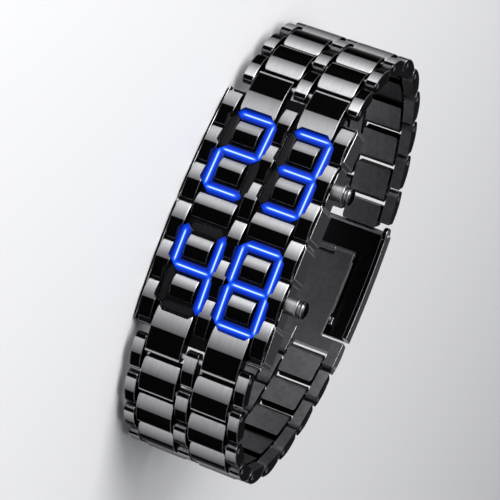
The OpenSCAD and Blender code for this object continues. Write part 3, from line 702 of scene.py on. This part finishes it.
def lens(mesh, layer, place, length, width, upright, lit, stretch):
    """A lens as rings of six points, each ring (depth, how far it stands out of the window all round).

    The painted glow dies away toward an end where no other lit lens meets this one."""
    rings = []
    spread = (trench_width - width) / 2 - 0.02 * mm
    # A lit lens runs on as a thin flange over the trench floor, so that its painted glow covers the whole
    # trench.
    if lit:
        shape = [(plate_depth, 0), (floor_depth, 0), (floor_depth, spread), (floor_depth - flange, spread),
                 (floor_depth - flange * 2, spread * 0.4), (floor_depth - flange * 2, -0.5 * mm)]
    else:
        shape = [(plate_depth, 0), (lens_depth + dome, 0), (lens_depth + dome * 0.35, -0.1 * mm),
                 (lens_depth, -0.36 * mm)]
    for depth, out in shape:
        ring = hexagon(length + side_per_tip * out, width + 2 * out)
        plan = [(x, z) if upright else (-z, x) for x, z in ring]
        rings.append(([mesh.verts.new(place @ Vector((x, depth, z))) for x, z in plan], ring))
    faces = []
    for (a, fa), (b, fb) in zip(rings, rings[1:]):
        for j in range(6):
            wall = mesh.faces.new((a[j], a[j - 1], b[j - 1], b[j]))
            faces.append((wall, (fa[j], fa[j - 1], fb[j - 1], fb[j])))
    faces.append((mesh.faces.new(rings[-1][0]), rings[-1][1]))
    faces.append((mesh.faces.new(list(reversed(rings[0][0]))), list(reversed(rings[0][1]))))
    for face, places in faces:
        face.smooth = True
        for loop, (u, v) in zip(face.loops, places):
            loop[layer].uv = (u / length * stretch[u > 0] + 0.5, v / width + 0.5)


def lens_ends(s, z, upright):
    """The two corners of its digit that a segment runs between, rounded so that they can be compared."""
    half = (row_pitch / 2, 0) if upright else (0, digit_width / 2)
    return [(round((s + e * half[0]) / mm, 1), round((z + e * half[1]) / mm, 1)) for e in (-1, 1)]


lit_corners = [corner for s, z, upright, lit in segments if lit for corner in lens_ends(s, z, upright)]
for name, wanted in (("lit_lenses", 1), ("dark_lenses", 0)):
    mesh = bmesh.new()
    layer = mesh.loops.layers.uv.new("along_lens")
    for s, z, upright, lit in segments:
        if lit == wanted:
            place = on_front(s) @ Matrix.Translation((0, 0, z))
            met = [lit_corners.count(corner) > 1 for corner in lens_ends(s, z, upright)]
            stretch = [met_stretch if m else free_stretch for m in met]
            lens(mesh, layer, place, (row_pitch if upright else digit_width) - tip_gap - lens_play,
                 window_width - lens_play, upright, lit, stretch)
    finished(mesh, name)


def lens_finish(name, lit):
    """Clear plastic, smoked or blue. A lit one has painted glow in place of the lamp behind it: a wide band,
    a brighter core and a pale line.
    """
    finish = bpy.data.materials.new(name)
    finish.use_nodes = True
    tree = finish.node_tree
    surface = tree.nodes["Principled BSDF"]
    new, link = tree.nodes.new, tree.links.new
    grain = new("ShaderNodeTexNoise")
    grain.inputs["Scale"].default_value = 1500
    where = new("ShaderNodeTexCoord")
    link(where.outputs["Object"], grain.inputs["Vector"])
    tint = new("ShaderNodeMix")
    tint.data_type = "RGBA"
    tint.inputs[colour_a].default_value = (0.0, 0.005, 0.08, 1) if lit else (0.003, 0.003, 0.0035, 1)
    tint.inputs[colour_b].default_value = (0.0, 0.008, 0.1, 1) if lit else (0.006, 0.006, 0.007, 1)
    link(grain.outputs["Fac"], tint.inputs["Factor"])
    link(tint.outputs[colour_out], surface.inputs["Base Color"])
    surface.inputs["Roughness"].default_value = 0.35
    surface.inputs["Specular IOR Level"].default_value = 0.1
    if lit:
        uv = new("ShaderNodeUVMap")
        uv.uv_map = "along_lens"
        split = new("ShaderNodeSeparateXYZ")
        link(uv.outputs["UV"], split.inputs["Vector"])

        def distance(socket):
            shift = new("ShaderNodeMath")
            shift.operation = "SUBTRACT"
            shift.inputs[1].default_value = 0.5
            size = new("ShaderNodeMath")
            size.operation = "ABSOLUTE"
            link(socket, shift.inputs[0])
            link(shift.outputs["Value"], size.inputs[0])
            return size.outputs["Value"]

        def fade(value, start, end):
            ramp = new("ShaderNodeMapRange")
            ramp.interpolation_type = "SMOOTHERSTEP"
            ramp.inputs["From Min"].default_value = start
            ramp.inputs["From Max"].default_value = end
            ramp.inputs["To Min"].default_value = 1
            ramp.inputs["To Max"].default_value = 0
            link(value, ramp.inputs["Value"])
            return ramp.outputs["Result"]

        beside, from_end = distance(split.outputs["Y"]), distance(split.outputs["X"])

        def glow(below, colour, across, along):
            """Lays a brighter colour over the one below, within its reach across and along the lens."""
            both = new("ShaderNodeMath")
            both.operation = "MULTIPLY"
            link(fade(beside, *across), both.inputs[0])
            link(fade(from_end, *along), both.inputs[1])
            layer = new("ShaderNodeMix")
            layer.data_type = "RGBA"
            link(both.outputs["Value"], layer.inputs["Factor"])
            if isinstance(below, tuple):
                layer.inputs[colour_a].default_value = below
            else:
                link(below, layer.inputs[colour_a])
            layer.inputs[colour_b].default_value = colour
            return layer.outputs[colour_out]

        # Painted glow: a blue band over the lens and its flange, a brighter core and a thin pale line down
        # the middle.
        band = glow((0.0, 0.01, 0.2, 1), (0.0, 0.045, 0.75, 1), (0.08, 0.6), (0.38, 0.56))
        core = glow(band, (0.01, 0.17, 1.0, 1), (0.02, 0.3), (0.3, 0.46))
        line = glow(core, (0.75, 0.95, 1.0, 1), (0.02, 0.12), (0.28, 0.4))
        link(line, surface.inputs["Emission Color"])
        surface.inputs["Emission Strength"].default_value = 1
    return finish


dress(bpy.data.objects["lit_lenses"], [lens_finish("lit_lens", True)],
      "case", ["lit_segments"])
dress(bpy.data.objects["dark_lenses"], [lens_finish("smoked_lens", False)],
      "case", ["unlit_segments"])


# Inside parts: a white frame of light wells, the green board with its lamps and control chip, two coin
# cells in their pockets and thin sprung contacts. They are dropped in from the back before the cover.
def moulded(name, colour, rough, scale):
    """Moulded or drawn stock with a fine mottle in its colour and surface."""
    finish = bpy.data.materials.new(name)
    finish.use_nodes = True
    tree = finish.node_tree
    surface = tree.nodes["Principled BSDF"]
    surface.inputs["Roughness"].default_value = rough
    new, link = tree.nodes.new, tree.links.new
    where = new("ShaderNodeTexCoord")
    grain = new("ShaderNodeTexNoise")
    grain.inputs["Scale"].default_value = scale
    grain.inputs["Detail"].default_value = 5
    link(where.outputs["Object"], grain.inputs["Vector"])
    tint = new("ShaderNodeMix")
    tint.data_type = "RGBA"
    tint.inputs[colour_a].default_value = tuple(c * 0.82 for c in colour) + (1,)
    tint.inputs[colour_b].default_value = tuple(min(c * 1.15, 1) for c in colour) + (1,)
    link(grain.outputs["Fac"], tint.inputs["Factor"])
    link(tint.outputs[colour_out], surface.inputs["Base Color"])
    bump = new("ShaderNodeBump")
    bump.inputs["Strength"].default_value = 0.2
    bump.inputs["Distance"].default_value = 0.00003
    link(grain.outputs["Fac"], bump.inputs["Height"])
    link(bump.outputs["Normal"], surface.inputs["Normal"])
    return finish


dress(nodes["light_frame"], [moulded("white_frame", (0.78, 0.78, 0.76), 0.5, 2500)])
dress(nodes["lamp_board"], [moulded("green_board", (0.03, 0.14, 0.07), 0.35, 1800)])
dress(nodes["lamp_chips"], [moulded("lamp_body", (0.85, 0.8, 0.6), 0.25, 3000)])
dress(nodes["coin_cells"], [plated_steel("nickel_can", (0.6, 0.6, 0.62, 1), 0.2, 0.28)])
dress(nodes["contact_springs"], [plated_steel("contact_strip", (0.62, 0.45, 0.18, 1), 0.1, 0.3)])

# Case middle and back: the case middle is milled from one piece of steel with bevelled side pads, black
# plated. A thin gasket lies under the curved back cover, which four slotted screws hold down.
black_case = plated_steel("black_case", (0.006, 0.006, 0.0065, 1), 0.0, 0.2)
satin_back = plated_steel("satin_back", (0.12, 0.12, 0.125, 1), 0.1, 0.36, grain=0.6)
ground_steel = plated_steel("ground_steel", (0.42, 0.42, 0.44, 1), 0.2, 0.3)
black_rubber = moulded("black_rubber", (0.025, 0.025, 0.027), 0.7, 4000)


def clean_solid(piece, width, angle=28, clamp=True):
    """Takes the needless edges out of a solid from the frame, then breaks its sharp ones."""
    weld = piece.modifiers.new("weld", "WELD")
    weld.merge_threshold = 0.000002
    flat = piece.modifiers.new("flat faces", "DECIMATE")
    flat.decimate_type = "DISSOLVE"
    flat.angle_limit = math.radians(0.3)
    soften(piece, width, angle=angle, clamp=clamp)


clean_solid(nodes["case_middle"], 0.1 * mm, clamp=False)
dress(nodes["case_middle"], [black_case, edge_wear_and_highlight])
clean_solid(nodes["back_cover"], 0.12 * mm)
dress(nodes["back_cover"], [satin_back, edge_wear_and_highlight])
dress(nodes["back_gasket"], [black_rubber])
clean_solid(nodes["back_screws"], 0.04 * mm)
dress(nodes["back_screws"], [ground_steel, ground_steel])


# Buttons: turned dark steel. A short tube with a rim is pressed into the case wall at each digit pair,
# and a capped stem slides in it against a small spring, with a rubber ring to keep water out.
def turned(mesh, place, profile, count=48):
    """Turns a profile of (radius, height) points about the piece's own axis."""
    rings = []
    for r, h in profile:
        rings.append([mesh.verts.new(place @ Vector((r * math.cos(2 * math.pi * j / count),
                                                     r * math.sin(2 * math.pi * j / count), h)))
                      for j in range(count)])
    for a, b in zip(rings, rings[1:]):
        for j in range(count):
            mesh.faces.new((a[j - 1], a[j], b[j], b[j - 1])).smooth = True
    mesh.faces.new(list(reversed(rings[0])))
    mesh.faces.new(rings[-1])


button_steel = plated_steel("button_steel", (0.04, 0.04, 0.042, 1), 0.1, 0.22, edge_tint=0.0)
button_depth = 3.6 * mm
tube_end = 30.05 * mm
press, press_gap = 0.35 * mm, 0.05 * mm
tip_r, stem_r, cap_r = 0.35 * mm, 0.65 * mm, 1.7 * mm
tip_foot, stem_foot = 25.45 * mm, 26.05 * mm
for side, name in ((-1, "upper_button"), (1, "lower_button")):
    place = on_front(side * 1.5 * row_pitch, button_depth)
    low = tube_end + press + press_gap
    mesh = bmesh.new()
    turned(mesh, place, [
        (tip_r, tip_foot), (tip_r, stem_foot), (stem_r, stem_foot), (stem_r, low),
        (cap_r - 0.1 * mm, low), (cap_r, low + 0.08 * mm), (cap_r, low + 0.5 * mm),
        (cap_r - 0.08 * mm, low + 0.56 * mm), (cap_r - 0.02 * mm, low + 0.62 * mm),
        (cap_r - 0.06 * mm, low + 0.8 * mm), (cap_r - 0.25 * mm, low + 0.97 * mm),
        (cap_r - 0.6 * mm, low + 1.06 * mm), (cap_r - 1.2 * mm, low + 1.1 * mm)])
    cap = finished(mesh, name + "_cap")
    soften(cap, 0.05 * mm, angle=50)
    dress(cap, [button_steel, edge_wear_and_highlight], name, [name])
tube_satin = plated_steel("tube_satin", (0.3, 0.3, 0.305, 1), 0.1, 0.4, edge_tint=0.0)
clean_solid(nodes["button_tubes"], 0.05 * mm)
dress(nodes["button_tubes"], [tube_satin, edge_wear_and_highlight])
spring_wire = plated_steel("spring_wire", (0.5, 0.5, 0.52, 1), 0.1, 0.3)
for name in ("upper_button_spring", "lower_button_spring"):
    dress(nodes[name], [spring_wire])
dress(nodes["button_seals"], [black_rubber])

# Bracelet links: each is a black-plated casting of three small and two wide blocks, joined by a set-back
# rib. Its crowns are satin on one half, with a painted highlight there, and polished on the other, like the
# front's. A ground pin through both ends hinges it to its neighbours.
spine = (2.375 * mm, 5.725 * mm, -0.65 * mm, 1.05 * mm)
rib_spans = ((4.0, 4.5), (12.2, 12.7), (15.3, 15.8), (23.5, 24.0))
rib_bite = 0.05 * mm
open_end = 7.2 * mm
wide_z, wide_width = (8.35 * mm, 19.65 * mm), 7.7 * mm
small_z = ((2.875 * mm, 2.25 * mm), (14 * mm, 2.6 * mm), (25.125 * mm, 2.25 * mm))


def small_block(mesh, place, z, width):
    """A small block in its link's frame: the wide block turned end for end."""
    turn = place @ Matrix.Translation((row_pitch, 0, 0)) @ Matrix.Scale(-1, 4, (1, 0, 0))
    wide_block(mesh, turn, z, width, corner=0.25 * mm, highlight_share=0.52, turned_round=True, start=0.13)


def rib(mesh, place, z0, z1):
    """The set-back bar between two blocks of a link."""
    x0, x1, y0, y1 = spine
    corners = [(x0, y0), (x1, y0), (x1, y1), (x0, y1)]
    skin(mesh, [[mesh.verts.new(place @ Vector((x, y, z))) for x, y in corners] for z in (z0, z1)])


def make_link(name, flip, stop=None):
    """A whole link's mesh. With stop, its far end is left open there for the spring bar."""
    place = Matrix.Scale(-1, 4, (1, 0, 0)) if flip else Matrix.Identity(4)
    mesh = bmesh.new()
    for z in wide_z:
        wide_block(mesh, place, z, wide_width, stop)
    for z, width in small_z:
        small_block(mesh, place, z, width)
    for z0, z1 in rib_spans:
        rib(mesh, place, z0 * mm - rib_bite, z1 * mm + rib_bite)
    link = finished(mesh, name)
    pin_drill = drill("drill", [place @ Matrix.Translation((x, 0, middle_z)) for x in (0, row_pitch)])
    carve(link, [pin_drill])
    bpy.data.objects.remove(pin_drill)
    soften(link, 0.08 * mm)
    apply_modifiers(link)
    data = link.data
    bpy.data.objects.remove(link)
    return data


hinges = {joint["child"]: Vector(joint["pos_m"]) for joint in frame["joints"]}
links = sum(1 for body in frame["bodies"] if body.startswith("lower_link_"))
clasp_hinge = hinges["clasp_inner"]
meshes = {("lower", False): make_link("lower_link", False), ("upper", False): make_link("upper_link", True),
          ("upper", True): make_link("open_link", True, stop=open_end)}
for strand in ("lower", "upper"):
    sign = 1 if strand == "lower" else -1
    for i in range(1, links + 1):
        name = f"{strand}_link_{i}"
        here = hinges[name]
        there = Vector((sign * clasp_hinge.x, clasp_hinge.y, clasp_hinge.z))
        if i < links:
            there = hinges[f"{strand}_link_{i + 1}"]
        angle = math.atan2(there.y - here.y, sign * (there.x - here.x))
        data = meshes[strand, strand == "upper" and i == links]
        link = bpy.data.objects.new(name + "_casting", data)
        bpy.context.scene.collection.objects.link(link)
        link.matrix_world = Matrix.Translation((here.x, here.y, 0)) @ Matrix.Rotation(sign * angle, 4, "Z")
        dress(link, [black_crowns, crown_edges, inner_satin], name, [name])
for name, node in nodes.items():
    if "_pin_" in name or name in ("end_pins", "fold_pin", "cover_pin", "spring_bar"):
        dress(node, [ground_steel])

# Clasp: two thin folding blades of pressed steel on small pins, and a plain curved cover that closes over
# them and takes the spring bar of the other half of the bracelet.
clasp_black = plated_steel("clasp_black", (0.02, 0.02, 0.022, 1), 0.0, 0.24)
for name, finish in (("clasp_inner_blade", satin_back), ("clasp_outer_blade", satin_back),
                     ("clasp_cover", clasp_black)):
    clean_solid(nodes[name], 0.09 * mm)
    dress(nodes[name], [finish, edge_wear_and_highlight])

# Studio: a plain pale floor and two soft lamps. The tall one at the upper left adds a soft sheen to the
# satin half of each crown, over its painted highlight, and the one overhead catches the broken edges.
bpy.ops.mesh.primitive_plane_add(size=4)
floor = bpy.context.object
floor.name = "floor"
paper = bpy.data.materials.new("pale_paper")
paper.use_nodes = True
paper.node_tree.nodes["Principled BSDF"].inputs["Base Color"].default_value = (0.72, 0.72, 0.73, 1)
paper.node_tree.nodes["Principled BSDF"].inputs["Roughness"].default_value = 0.7
floor.data.materials.append(paper)


def lamp(name, size, power, place, aim):
    """A soft rectangular lamp that looks at its aim."""
    light = bpy.data.lights.new(name, "AREA")
    light.shape = "RECTANGLE"
    light.size, light.size_y = size
    light.energy = power
    stand = bpy.data.objects.new(name, light)
    bpy.context.scene.collection.objects.link(stand)
    stand.location = place
    stand.rotation_euler = (Vector(aim) - Vector(place)).to_track_quat("-Z", "Y").to_euler()


lamp("tall_softbox", (0.5, 0.75), 10, (-0.466, -0.555, 0.338), (0, 0, 0.014))
lamp("overhead", (0.6, 0.6), 4, (-0.11, -0.31, 0.85), (0, 0, 0))
sky = bpy.data.worlds.new("studio_air")
bpy.context.scene.world = sky
sky.use_nodes = True
sky.node_tree.nodes["Background"].inputs["Color"].default_value = (0.9, 0.92, 1, 1)
sky.node_tree.nodes["Background"].inputs["Strength"].default_value = 0.25
